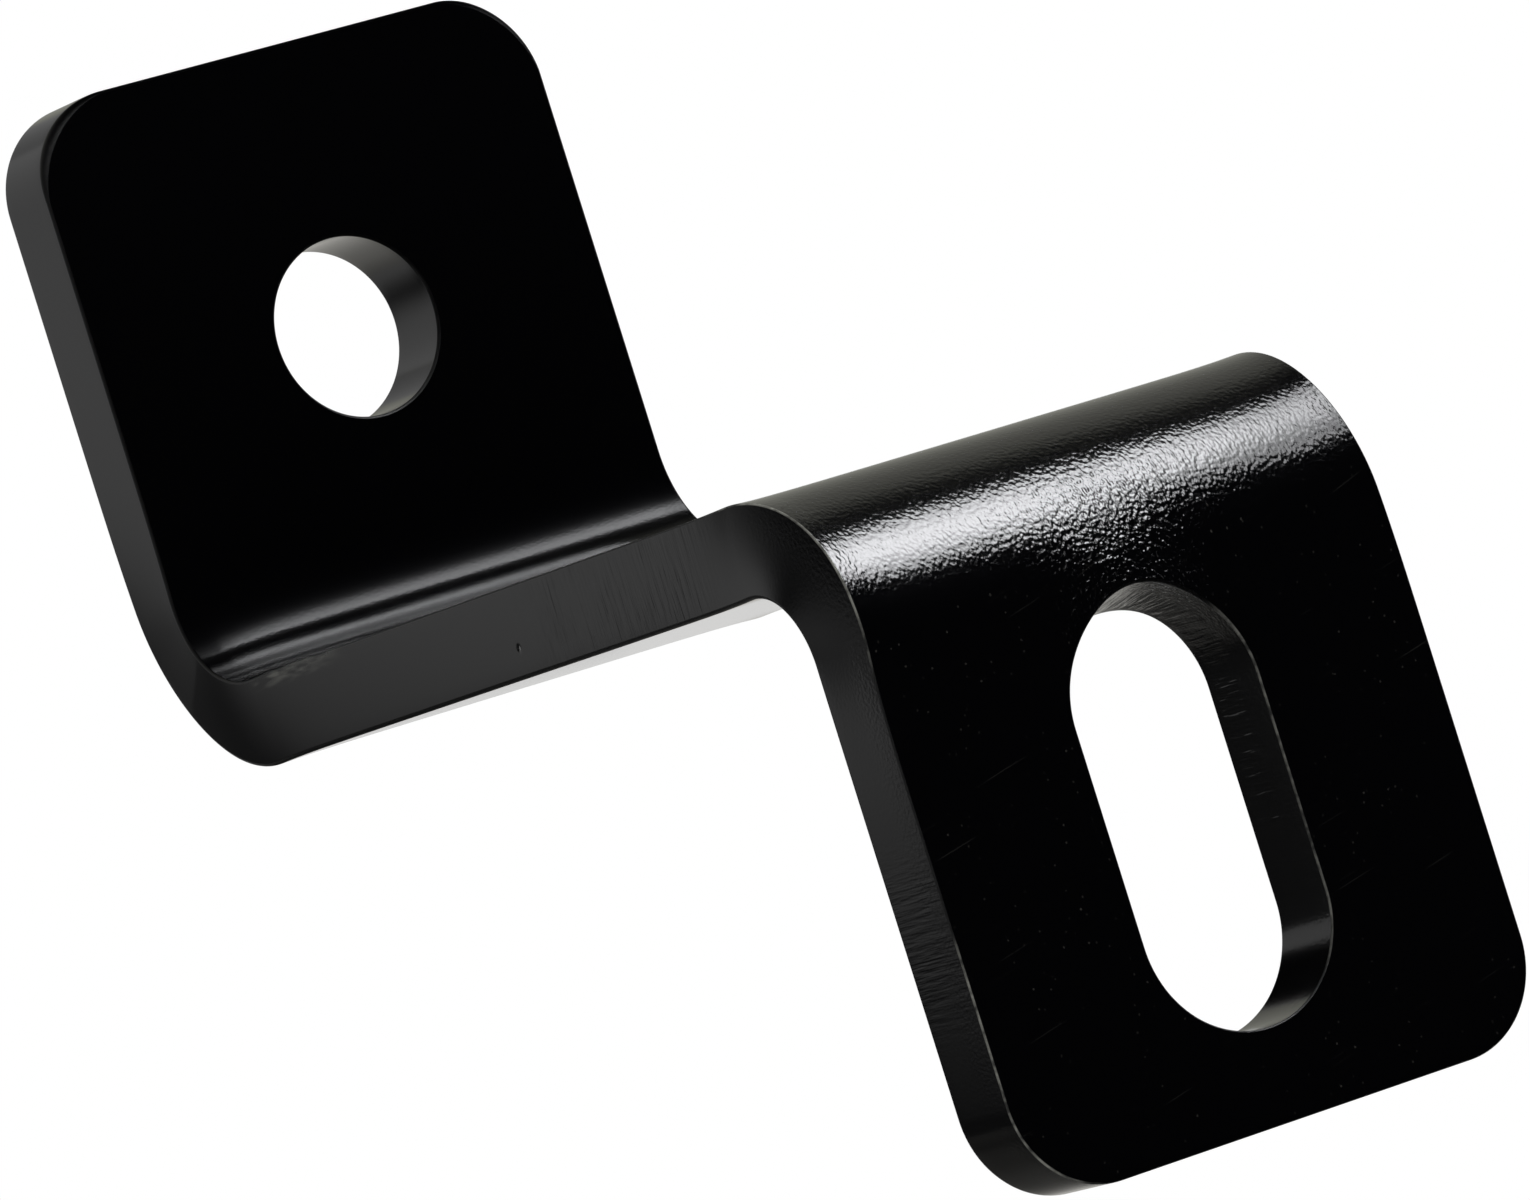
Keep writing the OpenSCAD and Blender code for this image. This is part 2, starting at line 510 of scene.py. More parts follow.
def weigh_normals(mesh):
    """Vertex normals weighted by face area, so flat faces stay flat next to their rounded edges."""
    count = len(mesh.vertices)
    places = np.empty(count * 3)
    mesh.vertices.foreach_get("co", places)
    places = places.reshape(-1, 3)
    mesh.calc_loop_triangles()
    corners = np.empty(len(mesh.loop_triangles) * 3, dtype=np.int64)
    mesh.loop_triangles.foreach_get("vertices", corners)
    corners = corners.reshape(-1, 3)
    a, b, c = (places[corners[:, i]] for i in range(3))
    doubled = np.cross(b - a, c - a)
    total = np.zeros((count, 3))
    for i in range(3):
        np.add.at(total, corners[:, i], doubled)
    total /= np.linalg.norm(total, axis=1)[:, None]
    mesh.normals_split_custom_set_from_vertices([tuple(n) for n in total])


def new_object(name, data):
    """A new object in the scene, at the origin."""
    made = bpy.data.objects.new(name, data)
    bpy.context.scene.collection.objects.link(made)
    return made


def folded_strip(settings, coat):
    """The whole bracket as one closed mesh."""
    strip, openings, edges = settings.strip, settings.openings, settings.edges
    folds = Folds(strip)
    mesh = flat_blank(settings, folds)
    face_outwards(mesh)
    flat = new_object("flat_blank", mesh)
    modifier = flat.modifiers.new("Fold", "NODES")
    values = {
        "Upper start": folds.upper_start,
        "Upper radius": folds.upper_radius,
        "Upper line": (0.0, -strip.thickness - strip.upper_fold, strip.upper_top - folds.upper_start),
        "Lower start": folds.lower_start,
        "Lower radius": folds.lower_radius,
        "Lower line": (0.0, strip.lower_fold, strip.upper_top - folds.lower_start),
        "Half width": strip.width / 2,
        "Half thickness": strip.thickness / 2,
        "Slot top": folds.flange_end - openings.slot_to_end - openings.slot_length / 2,
        "Slot pull": edges.slot_pull,
        "Slot lift": edges.slot_lift,
        "Draw in": edges.draw_in,
        "Bulge": edges.bulge,
        "Curl": edges.curl,
        "Coat": coat,
    }
    modifier.node_group = folding_tree(values)
    for item in modifier.node_group.interface.items_tree:
        if item.in_out == "INPUT" and item.name in values:
            modifier[item.identifier] = values[item.name]
    graph = bpy.context.evaluated_depsgraph_get()
    graph.update()
    evaluated = flat.evaluated_get(graph)
    folded = bpy.data.meshes.new_from_object(evaluated, preserve_all_data_layers=True, depsgraph=graph)
    flat.modifiers.remove(modifier)
    bpy.data.objects.remove(flat)
    bpy.data.meshes.remove(mesh)
    folded.name = "folded_strip"
    weigh_normals(folded)
    return new_object("folded_strip", folded)


# Stretches of the strip in millimetres along it: where an effect starts, is full, starts to fade and ends.
# The upper fold lies at 34 to 50, the web goes on to 114, the lower fold to 126, and the slot lies at 128
# to 156. The flange ends at 162.
PRESSED = (35.0, 38.5, 40.4, 41.0)
# Where the pale streaks lie on the left side below the upper fold.
PALE_STREAKS_ALONG = (49.5, 51.5, 57.0, 64.0)
WEB_CUT_MARKS = (82.0, 92.0, 104.0, 113.0)
# Where the pale edge line, thin coat and painted highlight, runs past the lower fold.
THIN_COAT_AND_HIGHLIGHT_AT_FOLD = (111.0, 115.0, 122.0, 129.0)
SLOT_CUT_MARKS = (124.0, 127.0, 143.0, 148.0)
FLANGE_CUT_MARKS = (137.0, 142.0, 146.0, 152.0)
# The same for the depth of the slot's cut marks, counted from mid thickness towards the front.
SLOT_CUT_DEPTH = (-2.6, -1.8, 0.2, 1.4)
PIT_ALONG, PIT_DEPTH, PIT_SPREAD = 85.0, -1.0, 0.2
# Middle and spread of soft places.
PULLED_ACROSS, PULLED_ALONG = (1.0, 8.0), (127.5, 5.0)
STRETCHED_ALONG, STRETCHED_DEPTH = (119.0, 3.6), (1.0, 2.2)


class CoatPlaces:
    """Where a point of the coat lies: on the flat blank, and on its cut edge. All lengths are in millimetres,
    so that every scale and width in the coat is a real size."""

    def __init__(self, tree):
        blank = add(tree, "ShaderNodeAttribute", attribute_name="blank").outputs["Vector"]
        self.point = add(tree, VECTOR_MATH, {0: blank, "Scale": 1 / MM}, operation="SCALE")
        split = add(tree, SEPARATE, (self.point,)).outputs
        self.across, self.along, self.depth = split["X"], split["Y"], split["Z"]
        cut = add(tree, "ShaderNodeAttribute", attribute_name="cut").outputs["Vector"]
        parts = add(tree, SEPARATE, (cut,)).outputs
        self.wall, self.faces_left = parts["X"], parts["Y"]
        self.on_wall = add(tree, MAP_RANGE, (self.wall, 0.55, 0.95, 0.0, 1.0), **SMOOTH)
        self.on_edge = window(tree, self.wall, 0.05, 0.3, 0.8, 0.98)
        self.in_front = add(tree, MAP_RANGE, (self.depth, 0.0, 2.0, 0.0, 1.0), **SMOOTH)


def coat_relief(tree, at):
    """The coat's relief: orange peel on the faces, and on the walls the cut marks that show through."""
    # Peel 0.4 mm from crest to crest, which takes 4.1 cells of noise to the millimetre. It lies flatter
    # above the lower fold, on the back, and on the walls.
    inputs = {"Vector": at.point, "Scale": 4.1, "Detail": 0.8, "Roughness": 0.4}
    peel = add(tree, NOISE, inputs)
    lower = add(tree, MAP_RANGE, (at.along, 115.0, 119.5, 0.15, 1.0))
    front = add(tree, MAP_RANGE, (at.in_front, 0.0, 1.0, 0.3, 1.0))
    face = add(tree, MAP_RANGE, (at.on_wall, 0.0, 1.0, 1.0, 0.3))
    # Above the slot, where the fold has pulled the steel, the peel is over four times as deep.
    pulled = product(tree, hump(tree, at.across, *PULLED_ACROSS), hump(tree, at.along, *PULLED_ALONG))
    deeper = add(tree, MATH, (pulled, 3.3, 1.0), operation="MULTIPLY_ADD")
    peel_height = product(tree, peel, lower, front, face, deeper)
    peel_bump = add(tree, "ShaderNodeBump", {"Height": peel_height, "Distance": 0.031 * MM})

    # Cut marks run across the thickness, each about 0.45 mm wide and 4.5 mm long.
    marks_per_mm = (2.2, 2.2, 0.22)
    streak_place = add(tree, VECTOR_MATH, (at.point, marks_per_mm), operation="MULTIPLY")
    inputs = {"Vector": streak_place, "Scale": 1.0, "Detail": 2.0, "Roughness": 0.6}
    streaks = add(tree, NOISE, inputs)
    distance = add(tree, MATH, (at.across,), operation="ABSOLUTE")
    near_middle = add(tree, MAP_RANGE, (distance, 13.0, 13.5, 1.0, 0.0))
    # They are twice as deep round the slot's top as beside it.
    round_top = add(tree, MAP_RANGE, (at.along, 130.0, 135.0, 2.4, 1.1))
    on_slot = product(tree, window(tree, at.along, *SLOT_CUT_MARKS), window(tree, at.depth, *SLOT_CUT_DEPTH))
    in_slot = product(tree, near_middle, on_slot, round_top)
    stretches = [window(tree, at.along, *stretch) for stretch in (WEB_CUT_MARKS, FLANGE_CUT_MARKS)]
    outside = add(tree, MATH, stretches, operation="MAXIMUM")
    # On the outer sides they come and go in patches 4 mm wide.
    patches = add(tree, NOISE, {"Vector": at.point, "Scale": 1 / 4, "Detail": 1.0})
    patchy = add(tree, MAP_RANGE, (patches, 0.35, 0.62, 0.25, 0.62))
    share = add(tree, MATH, (product(tree, patchy, outside), in_slot), operation="MAXIMUM")
    centred = add(tree, MATH, (streaks, 0.5), operation="SUBTRACT")
    streak_height = product(tree, centred, share, at.on_wall)
    # A pit half a millimetre wide in each of the web's sides.
    pit_place = [hump(tree, at.along, PIT_ALONG, PIT_SPREAD), hump(tree, at.depth, PIT_DEPTH, PIT_SPREAD)]
    pit = product(tree, *pit_place, at.on_wall)
    height = add(tree, MATH, (streak_height, pit), operation="SUBTRACT")
    inputs = {"Height": height, "Distance": 0.075 * MM, "Normal": peel_bump}
    return add(tree, "ShaderNodeBump", inputs)


def marks(tree, at):
    """How much of the coat's dust colour shows: specks and fine scratches on the front."""
    # Specks of dust some 0.15 mm across lie in loose patches.
    cells = add(tree, "ShaderNodeTexVoronoi", {"Vector": at.point, "Scale": 1.6})
    chosen = add(tree, SEPARATE, (cells.outputs["Color"],)).outputs["X"]
    strength = add(tree, MAP_RANGE, (chosen, 0.2, 1.0, 0.0, 0.16))
    specks = add(tree, MAP_RANGE, (cells.outputs["Distance"], 0.08, 0.16, 1.0, 0.0))
    where = add(tree, NOISE, {"Vector": at.point, "Scale": 0.15, "Detail": 1.0})
    patchy = add(tree, MAP_RANGE, (where, 0.4, 0.62, 0.15, 1.0))
    # Scratches 0.07 mm wide and some 5 mm long, slanting up to the right.
    slant = 12
    inputs = {"Vector": at.point, "Angle": math.radians(slant)}
    turned = add(tree, "ShaderNodeVectorRotate", inputs, rotation_type="Z_AXIS")
    drawn_out = add(tree, VECTOR_MATH, (turned, (0.16, 7.0, 0.0)), operation="MULTIPLY")
    lines = add(tree, NOISE, {"Vector": drawn_out, "Scale": 1.0, "Detail": 0.0})
    scratches = add(tree, MAP_RANGE, (lines, 0.79, 0.87, 0.0, 0.04))
    on_face = add(tree, MAP_RANGE, (at.wall, 0.0, 0.1, 1.0, 0.0))
    dusty = product(tree, specks, strength, patchy)
    both = add(tree, MATH, (dusty, scratches), operation="MAXIMUM")
    lower = add(tree, MAP_RANGE, (at.along, 40.0, 130.0, 0.1, 0.6))
    return product(tree, both, on_face, at.in_front, lower)


def thin_coat_and_painted_highlight(tree, at):
    """How much of the pale edge colour shows. It is a line along the left front edge of the lower fold and of
    the lower flange's end, and inside the slot's right edge, where the coat lies thin and a highlight is
    painted on the edges that face left; and pale streaks on the left side below the upper fold."""
    line_noise = add(tree, NOISE, {"Vector": at.point, "Scale": 1.2, "Detail": 2.0})
    uneven = add(tree, MAP_RANGE, (line_noise, 0.35, 0.62, 0.1, 1.0))
    # Only edges that face left, towards the lit side, get the line, so it is partly a painted highlight.
    left = add(tree, MAP_RANGE, (at.faces_left, 0.2, 0.7, 0.0, 1.0))
    outer = add(tree, MAP_RANGE, (at.across, -12.0, -8.0, 1.0, 0.0))
    at_fold = window(tree, at.along, *THIN_COAT_AND_HIGHLIGHT_AT_FOLD)
    at_end = add(tree, MAP_RANGE, (at.along, 144.0, 147.0, 0.0, 0.8))
    outside = product(tree, outer, add(tree, MATH, (at_fold, at_end), operation="MAXIMUM"))
    on_right = add(tree, MAP_RANGE, (at.across, 5.0, 6.5, 0.0, 0.5))
    on_lower_half = add(tree, MAP_RANGE, (at.along, 100.0, 116.0, 0.0, 1.0), **SMOOTH)
    at_slot = product(tree, on_right, on_lower_half)
    where = add(tree, MATH, (outside, at_slot), operation="MAXIMUM")
    # The edge line is thin coat, and also a painted highlight on the edges that face the lit left side.
    thin = product(tree, at.on_edge, uneven, where)
    # A pale streaky patch on the left side's edge just below the upper fold, 12 mm long and 1 mm high.
    below_fold = window(tree, at.along, *PALE_STREAKS_ALONG)
    near_edge = add(tree, MAP_RANGE, (at.depth, 1.8, 2.6, 0.0, 1.0))
    drawn_out = add(tree, VECTOR_MATH, (at.point, (0.0, 0.4, 2.5)), operation="MULTIPLY")
    streaks = add(tree, NOISE, {"Vector": drawn_out, "Scale": 1.0, "Detail": 2.0})
    patchy = add(tree, MAP_RANGE, (streaks, 0.42, 0.64, 0.0, 0.35))
    pale_streaks = product(tree, below_fold, near_edge, patchy)
    both = add(tree, MATH, (thin, pale_streaks), operation="MAXIMUM")
    return product(tree, both, left, at.in_front)


def empty_material(name):
    """A material without nodes yet, and its tree."""
    material = bpy.data.materials.new(name)
    material.use_nodes = True
    material.node_tree.nodes.clear()
    return material, material.node_tree


def satin_powder_coat(colours):
    """Black polyester powder coat over mild steel, sprayed and baked. It gives the eye a deep black satin
    skin with a fine orange peel, cut marks that show through it on the sheared edges, a paler thin line
    where it draws back from the sharp edges that face left, with a highlight painted into that line,
    pale streaks on the left side below the upper fold, and a little dust."""
    material, tree = empty_material("satin_black_powder_coat")
    at = CoatPlaces(tree)
    # The pale edge colour is thin coat on sharp edges and also a painted highlight on the edges that face
    # left.
    inputs = {0: thin_coat_and_painted_highlight(tree, at), 6: colours.black, 7: colours.thin_coat_and_highlight}
    black = add(tree, "ShaderNodeMix", inputs, data_type="RGBA").outputs[2]
    inputs = {0: marks(tree, at), 6: black, 7: colours.dust}
    base = add(tree, "ShaderNodeMix", inputs, data_type="RGBA").outputs[2]

    # Faces are satin. Walls are a little duller, most of all where the lower fold has stretched them.
    on_faces, on_walls = 0.13, 0.16
    rough = add(tree, MAP_RANGE, (at.on_wall, 0.0, 1.0, on_faces, on_walls))
    # The press tool has dulled the upper fold in one band, which ends sharply towards the web.
    pressed = window(tree, at.along, *PRESSED)
    rough = add(tree, MATH, (pressed, 0.05, rough), operation="MULTIPLY_ADD")
    stretched = product(tree, hump(tree, at.along, *STRETCHED_ALONG), hump(tree, at.depth, *STRETCHED_DEPTH))
    stretched = product(tree, stretched, at.on_wall)
    rough = add(tree, MATH, (stretched, 0.02, rough), operation="MULTIPLY_ADD")
    # On rounded edges the coat is thin and dull.
    rough = add(tree, MATH, (at.on_edge, 0.35, rough), operation="MULTIPLY_ADD")
    inputs = {"Base Color": base, "Roughness": rough, "IOR": 1.48, "Normal": coat_relief(tree, at)}
    shader = add(tree, "ShaderNodeBsdfPrincipled", inputs)
    add(tree, "ShaderNodeOutputMaterial", {"Surface": shader})
    return material


def seen_directly(tree):
    """1 for the rays that see the backdrop as plain white, 0 for those that only light the object."""
    rays = add(tree, "ShaderNodeLightPath").outputs
    seen = add(tree, MATH, (rays["Is Camera Ray"], rays["Is Glossy Ray"]), operation="MAXIMUM")
    return add(tree, MATH, (seen, rays["Is Transmission Ray"]), operation="MAXIMUM")


def white_world():
    """A plain pale room: white behind the object, half as strong as light on it."""
    world = bpy.data.worlds.new("studio")
    bpy.context.scene.world = world
    world.use_nodes = True
    tree = world.node_tree
    tree.nodes.clear()
    light = 0.5
    strength = add(tree, MATH, (seen_directly(tree), 1 - light, light), operation="MULTIPLY_ADD")
    room = add(tree, "ShaderNodeBackground", {"Color": linear(WHITE), "Strength": strength})
    add(tree, "ShaderNodeOutputWorld", {"Surface": room})


def spot(tree, kind="Object"):
    """The X, Y and Z of a point of a stage piece, in metres, or across and up the piece for its UV map."""
    return add(tree, SEPARATE, (add(tree, "ShaderNodeTexCoord").outputs[kind],)).outputs


def glow(tree, tint, strength):
    """Ends a material in plain emission."""
    face = add(tree, "ShaderNodeEmission", {"Color": linear(tint), "Strength": strength})
    add(tree, "ShaderNodeOutputMaterial", {"Surface": face})


def sheet_of(name, corners, material):
    """A flat four-cornered stage piece. Rays find its light only by mirroring it, so that a flag in front of
    it really hides it."""
    material.cycles.emission_sampling = "NONE"
    mesh = bpy.data.meshes.new(name)
    mesh.from_pydata([tuple(c) for c in corners], [], [(0, 1, 2, 3)])
    mesh.materials.append(material)
    mesh.uv_layers.new(name="UVMap").data.foreach_set("uv", (0, 0, 1, 0, 1, 1, 0, 1))
    sheet = new_object(name, mesh)
    return sheet


def mirrored_sheet(corners, material):
    """A stage piece that only reflections see, named as its material."""
    sheet = sheet_of(material.name, corners, material)
    for kind in ("camera", "diffuse", "transmission", "volume_scatter", "shadow"):
        setattr(sheet, f"visible_{kind}", False)


def level_corners(height, left, right, front, back):
    """The corners of a level sheet."""
    return [(left, front, height), (right, front, height), (right, back, height), (left, back, height)]


def pale_floor(settings):
    """The floor: white paper that keeps the object's shadow and looks white to the camera."""
    material, tree = empty_material("white_paper_floor")
    paper = add(tree, "ShaderNodeBsdfDiffuse", {"Color": linear("#f4f4f2")})
    lift_to_white = 0.55
    bright = add(tree, "ShaderNodeEmission", {"Color": linear(WHITE), "Strength": lift_to_white})
    both = add(tree, "ShaderNodeAddShader", (paper, bright))
    mixed = add(tree, "ShaderNodeMixShader", (seen_directly(tree), paper, both))
    add(tree, "ShaderNodeOutputMaterial", {"Surface": mixed})
    low = -settings.strip.lower_end - settings.studio.floor_below
    reach = 1.6
    sheet_of("floor", level_corners(low, -reach, reach, -reach, reach), material)


def in_section(turn, distance):
    """A point in the plane across the folds, turned in degrees from the back over the top to the front."""
    return Vector((0.0, math.cos(math.radians(turn)), math.sin(math.radians(turn)))) * distance


WEB_MIDDLE = Vector((0.0, -0.044, -0.024))
LOWER_FOLD = Vector((0.0, -0.084, -0.024))
# The softbox's far and near edges in degrees, as the lower fold sees them, and its left and right ends
# as shares of its distance. The camera sees the folds mirror what lies at a share of 0.56.
BOX_TOP, BOX_BOTTOM, BOX_LEFT, BOX_RIGHT = 96.5, 138.0, 0.3, 1.05


def softbox(settings):
    """One large softbox, above and to the front right: a lamp for the light, and a cloth whose middle is
    brightest for the folds to mirror as a soft band."""
    distance = settings.studio.box_distance
    top = LOWER_FOLD + in_section(BOX_TOP, distance)
    bottom = LOWER_FOLD + in_section(BOX_BOTTOM, distance)
    up = top - bottom
    across = Vector((1.0, 0.0, 0.0))
    left, right = across * (BOX_LEFT * distance), across * (BOX_RIGHT * distance)
    data = bpy.data.lights.new("softbox_lamp", "AREA")
    data.shape = "RECTANGLE"
    data.size = 2 * (right - left).length
    data.size_y = up.length
    # An area lamp of power P and area A has a radiance of P / (pi A).
    data.energy = settings.studio.box_light * math.pi * data.size * data.size_y
    lamp = new_object("softbox_lamp", data)
    along = up.normalized()
    lamp.matrix_world = Matrix((across, along, across.cross(along))).transposed().to_4x4()
    lamp.matrix_world.translation = (top + bottom + left + right) / 2
    lamp.visible_camera = False
    lamp.visible_glossy = False

    material, tree = empty_material("softbox_cloth")
    place = spot(tree, "UV")
    off = add(tree, MATH, (place["Y"], 0.5), operation="SUBTRACT")
    off_middle = add(tree, MATH, (off,), operation="ABSOLUTE")
    high = add(tree, MAP_RANGE, (off_middle, 0.02, 0.5, 1.0, 0.4), **SMOOTH)
    wide = window(tree, place["X"], 0.0, 0.22, 0.6, 1.0)
    glow(tree, "#fbfcff", product(tree, high, wide, settings.studio.box_shine))
    corners = [bottom + left, bottom + right, top + right, top + left]
    mirrored_sheet(corners, material)


def standing_sheet(material, direction, distance, half_width, low, high):
    """An upright sheet round the bracket, in a direction in degrees from the front to the right, with its
    lower and upper edge measured from the web."""
    away = Vector((math.sin(math.radians(direction)), -math.cos(math.radians(direction)), 0.0))
    side = Vector((0.0, 0.0, 1.0)).cross(away) * half_width
    middle = WEB_MIDDLE + away * distance
    low, high = Vector((0.0, 0.0, low)), Vector((0.0, 0.0, high))
    corners = [middle - side + low, middle + side + low, middle + side + high, middle - side + high]
    mirrored_sheet(corners, material)


def crosswise_sheet(material, place, left, right, low, high):
    """An upright sheet parallel to the flanges, place being its Y."""
    corners = [(left, place, low), (right, place, low), (right, place, high), (left, place, high)]
    mirrored_sheet(corners, material)


def plain_material(name, radiance, tint):
    """A material of one radiance."""
    material, tree = empty_material(name)
    glow(tree, tint, radiance)
    return material


def plain_cards(studio):
    """The cards of one radiance: black in front, so that the faces stay deep black, and grey elsewhere."""
    # Name, radiance and tint, then direction, distance, half width, lower edge and upper edge.
    for name, radiance, tint, *place in (
        ("black_card", 0.0, BLACK, 36.0, 0.8, 0.62, -0.6, 0.53),
        ("black_side_card", 0.0, BLACK, 107.0, 0.9, 0.53, -0.6, 0.6),
        ("grey_far_card", studio.side_wall, WHITE, 197.0, 1.0, 0.2, -0.5, 0.6),
        ("dim_front_card", 0.1, WHITE, 307.0, 0.9, 1.1, -0.6, 1.1),
        ("grey_back_card", 0.3, WHITE, 174.0, 1.0, 0.23, 0.1, 1.0),
        ("pale_back_card", studio.surround, PALE, 149.0, 1.1, 0.24, 0.14, 1.2),
        # The slot's right side mirrors this one, low down behind the web's left side.
        ("dark_slot_card", 0.045, WHITE, 223.5, 0.072, 0.015, -0.045, -0.004),
    ):
        standing_sheet(plain_material(name, radiance, tint), *place)


def shaded_cards(studio):
    """The two cards behind on the left, whose light falls off. The bracket's left sides mirror them."""
    material, tree = empty_material("grey_side_card")
    # Its light falls off downwards to the right, against this direction.
    uphill = (-0.61, -0.34, 1.0)
    place = add(tree, "ShaderNodeTexCoord").outputs["Object"]
    height = add(tree, VECTOR_MATH, (place, uphill), operation="DOT_PRODUCT").outputs["Value"]
    falling = add(tree, MAP_RANGE, (height, -0.027, 0.015, 0.03, studio.side_wall), **SMOOTH)
    # The lower fold's side, drawn in and bulged by the folding, mirrors where the card ends on the left.
    across = spot(tree)["X"]
    left_end = add(tree, MAP_RANGE, (across, -0.122, -0.104, 0.1, 1.0), **SMOOTH)
    # Only the round hole mirrors the card's right end.
    right_end = add(tree, MAP_RANGE, (across, -0.046, -0.034, 0.0, 0.4))
    both = add(tree, MATH, (product(tree, falling, left_end), right_end), operation="MAXIMUM")
    glow(tree, WHITE, both)
    standing_sheet(material, 212.0, distance=0.14, half_width=0.057, low=-0.076, high=0.114)

    # Past its left end the fold's side mirrors a far card, black above and grey below.
    material, tree = empty_material("left_card")
    glow(tree, WHITE, add(tree, MAP_RANGE, (spot(tree)["Z"], 0.03, 0.105, 0.25, 0.0), **SMOOTH))
    standing_sheet(material, 232.0, distance=1.0, half_width=0.45, low=-0.6, high=0.6)


def ceiling_and_cloths(studio):
    """The level sheets: a ceiling and a floor cloth that are brighter at the back, and black in front."""
    material, tree = empty_material("ceiling")
    back = add(tree, MAP_RANGE, (spot(tree)["Y"], 0.0, 0.5, 0.02, studio.surround), **SMOOTH)
    glow(tree, PALE, back)
    mirrored_sheet(level_corners(0.95, -1.5, 2.5, -0.3, 2.4), material)

    # The left side of the lower left corner mirrors the cloth's dark left part.
    material, tree = empty_material("grey_floor_cloth")
    place = spot(tree)
    farther = add(tree, MAP_RANGE, (place["Y"], 0.15, 0.4, 0.1, 0.7))
    righter = add(tree, MAP_RANGE, (place["X"], -0.17, -0.02, 0.15, 1.0))
    glow(tree, "#fffdf6", product(tree, farther, righter))
    mirrored_sheet(level_corners(-0.2, -1.5, 1.8, 0.08, 2.0), material)
    black = plain_material("black_floor_cloth", 0.0, BLACK)
    mirrored_sheet(level_corners(-0.2, -0.25, 1.8, -1.6, 0.06), black)


def black_flags():
    """Two black flags close to the bracket."""
    # The lower part of the slot's right side mirrors the web's underside, and that mirrors this one.
    black = plain_material("slot_flag", 0.0, BLACK)
    crosswise_sheet(black, 0.02, left=-0.038, right=0.028, low=-0.066, high=-0.037)
    # This one keeps the softbox out of the upper end's edge.
    corners = level_corners(0.022, -0.03, 0.03, -0.0092, -0.0035)
    mirrored_sheet(corners, plain_material("top_flag", 0.0, BLACK))


def part_open(tree, open_share):
    """Ends a material as black net, open by a share."""
    black = add(tree, "ShaderNodeEmission", {"Color": linear(BLACK)})
    mixed = add(tree, "ShaderNodeMixShader", (open_share, black, add(tree, "ShaderNodeBsdfTransparent")))
    add(tree, "ShaderNodeOutputMaterial", {"Surface": mixed})


def end_flag():
    """A small level net that dims the softbox for the lower fold's right end."""
    material, tree = empty_material("end_flag")
    part_open(tree, add(tree, MAP_RANGE, (spot(tree)["X"], 0.033, 0.047, 1.0, 0.35)))
    mirrored_sheet(level_corners(0.012, 0.025, 0.07, -0.125, -0.085), material)


def small_flag():
    """A small upright net in front of the upper fold. It is closed low down, part open above that and open at
    its top, so that the fold mirrors the softbox as two thin lines."""
    material, tree = empty_material("small_flag")
    place = spot(tree)
    low = add(tree, MAP_RANGE, (place["Z"], -0.003, 0.006, 0.0, 0.4), **SMOOTH)
    high = add(tree, MAP_RANGE, (place["Z"], 0.0105, 0.0155, 0.0, 1.0), **SMOOTH)
    left_end = add(tree, MAP_RANGE, (place["X"], -0.012, 0.004, 0.3, 1.0), **SMOOTH)
    right_end = add(tree, MAP_RANGE, (place["X"], 0.0, 0.036, 0.8, 1.2), **SMOOTH)
    whole = add(tree, MATH, (product(tree, low, right_end), high), operation="ADD")
    # The lower fold's rays come from in front and pass.
    seen_behind = add(tree, "ShaderNodeNewGeometry").outputs["Backfacing"]
    passing = add(tree, MATH, (1.0, seen_behind), operation="SUBTRACT")
    share = add(tree, MATH, (product(tree, whole, left_end), passing), operation="MAXIMUM")
    part_open(tree, share)
    crosswise_sheet(material, -0.015, left=-0.03, right=0.045, low=-0.018, high=0.018)


# The camera's lens and place in millimetres, and its turns in degrees. They were fitted to the bracket's
# edges in the photograph.
CAMERA_LENS = 260.84
CAMERA_PLACE = (-375.28, -660.57, -36.2)
CAMERA_TURNS = ((-31.413, "Z"), (90.765, "X"), (-17.431, "Z"))


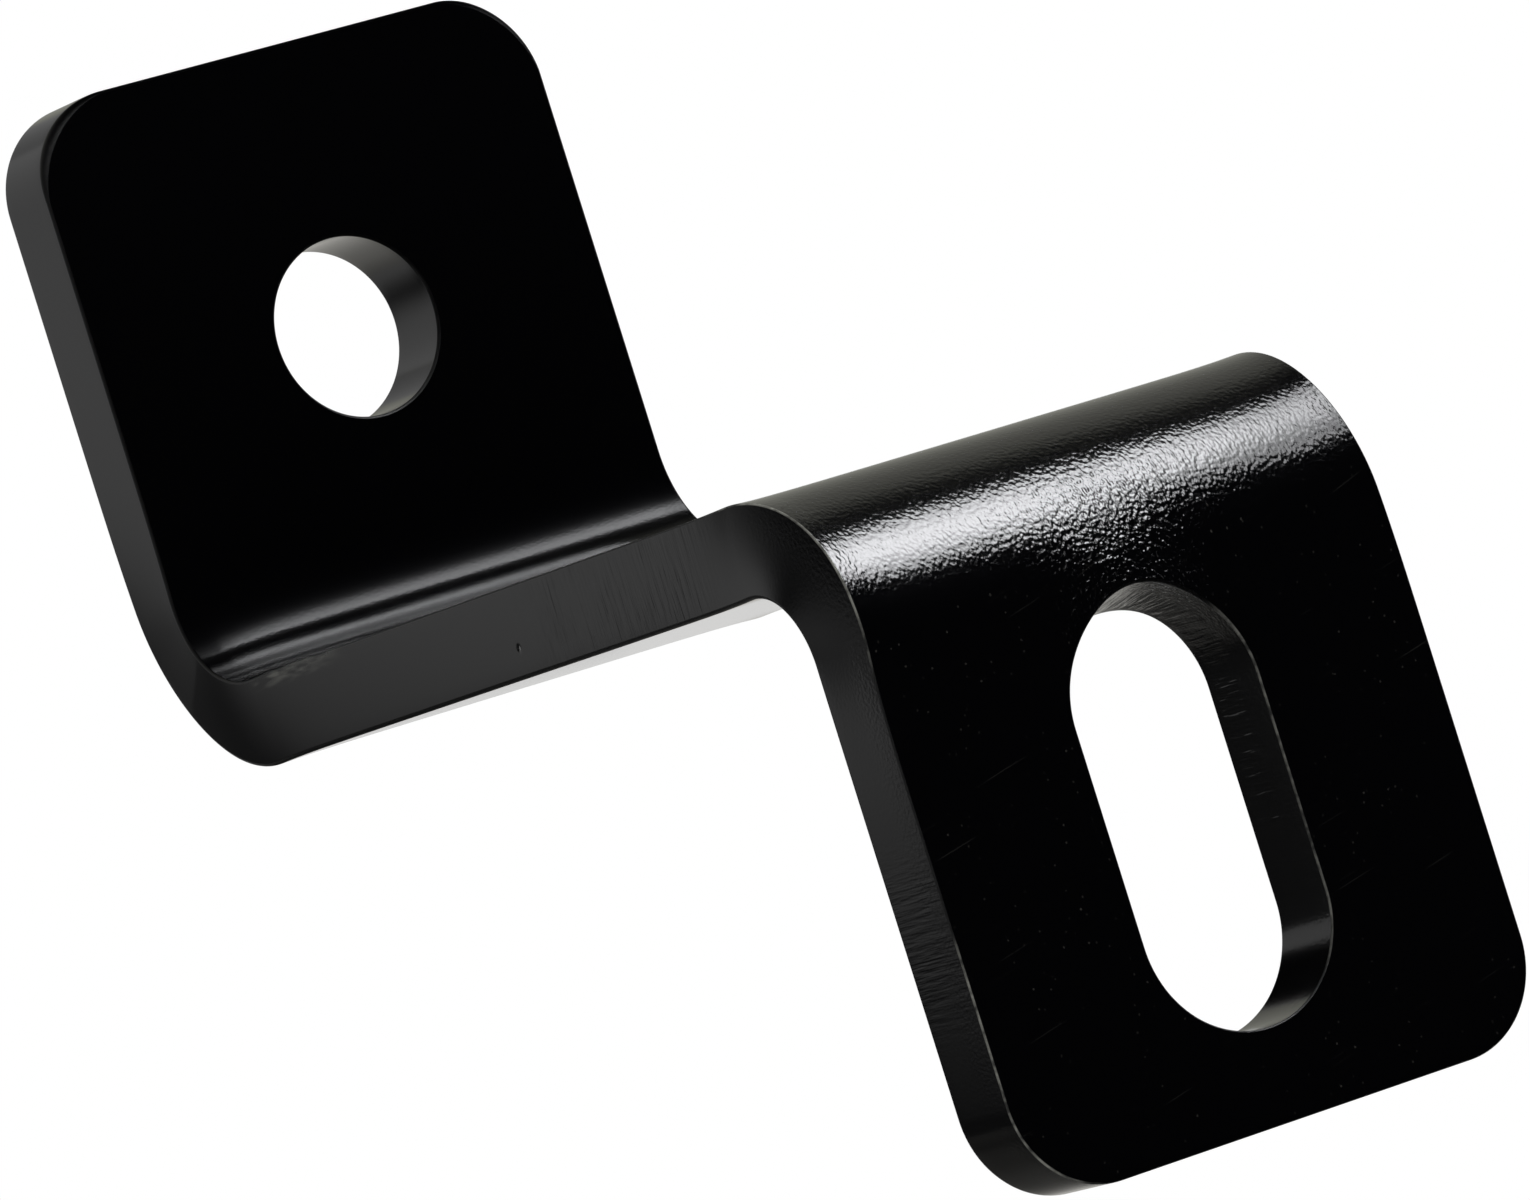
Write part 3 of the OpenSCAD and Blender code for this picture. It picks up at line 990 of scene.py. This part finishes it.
def photo_camera():
    """The camera, at the photograph's angle."""
    data = bpy.data.cameras.new("photo")
    data.sensor_width = 36.0
    data.lens = CAMERA_LENS
    data.clip_start, data.clip_end = 0.05, 20.0
    camera = new_object("photo", data)
    heading, tilt, roll = (Matrix.Rotation(math.radians(angle), 3, axis) for angle, axis in CAMERA_TURNS)
    camera.matrix_world = (heading @ tilt @ roll).to_4x4()
    camera.matrix_world.translation = Vector(CAMERA_PLACE) * MM
    bpy.context.scene.camera = camera


class BRACKET_OT_strip(bpy.types.Operator):
    """Makes the folded and coated strip"""

    bl_idname = "bracket.strip"
    bl_label = "Folded strip"

    def execute(self, context):
        settings = context.scene.bracket
        piece = folded_strip(settings, satin_powder_coat(settings.coat))
        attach(piece, "root")
        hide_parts("bracket")
        return {"FINISHED"}


class BRACKET_OT_studio(bpy.types.Operator):
    """Makes the floor, the light, the backdrop and the camera"""

    bl_idname = "bracket.studio"
    bl_label = "Studio"

    def execute(self, context):
        settings = context.scene.bracket
        context.scene.view_settings.view_transform = "Standard"
        white_world()
        pale_floor(settings)
        softbox(settings)
        plain_cards(settings.studio)
        shaded_cards(settings.studio)
        ceiling_and_cloths(settings.studio)
        black_flags()
        small_flag()
        end_flag()
        photo_camera()
        return {"FINISHED"}


class BRACKET_PT_panel(bpy.types.Panel):
    """The bracket's panel in the sidebar"""

    bl_idname = "BRACKET_PT_panel"
    bl_label = "Bracket"
    bl_space_type = "VIEW_3D"
    bl_region_type = "UI"
    bl_category = "Bracket"

    def draw(self, context):
        settings = context.scene.bracket
        for group in (settings.strip, settings.openings, settings.edges, settings.coat, settings.studio):
            box = self.layout.box()
            for name in type(group).__annotations__:
                box.prop(group, name)
        self.layout.operator(BRACKET_OT_strip.bl_idname)
        self.layout.operator(BRACKET_OT_studio.bl_idname)


CLASSES = (StripSizes, OpeningSizes, EdgeSizes, CoatColours, StudioSizes, BracketSettings)
CLASSES += (BRACKET_OT_strip, BRACKET_OT_studio, BRACKET_PT_panel)


def register():
    for item in CLASSES:
        bpy.utils.register_class(item)
    bpy.types.Scene.bracket = PointerProperty(type=BracketSettings)


def unregister():
    del bpy.types.Scene.bracket
    for item in reversed(CLASSES):
        bpy.utils.unregister_class(item)


def main():
    register()
    bpy.ops.bracket.strip()
    bpy.ops.bracket.studio()


if __name__ == "__main__":
    main()
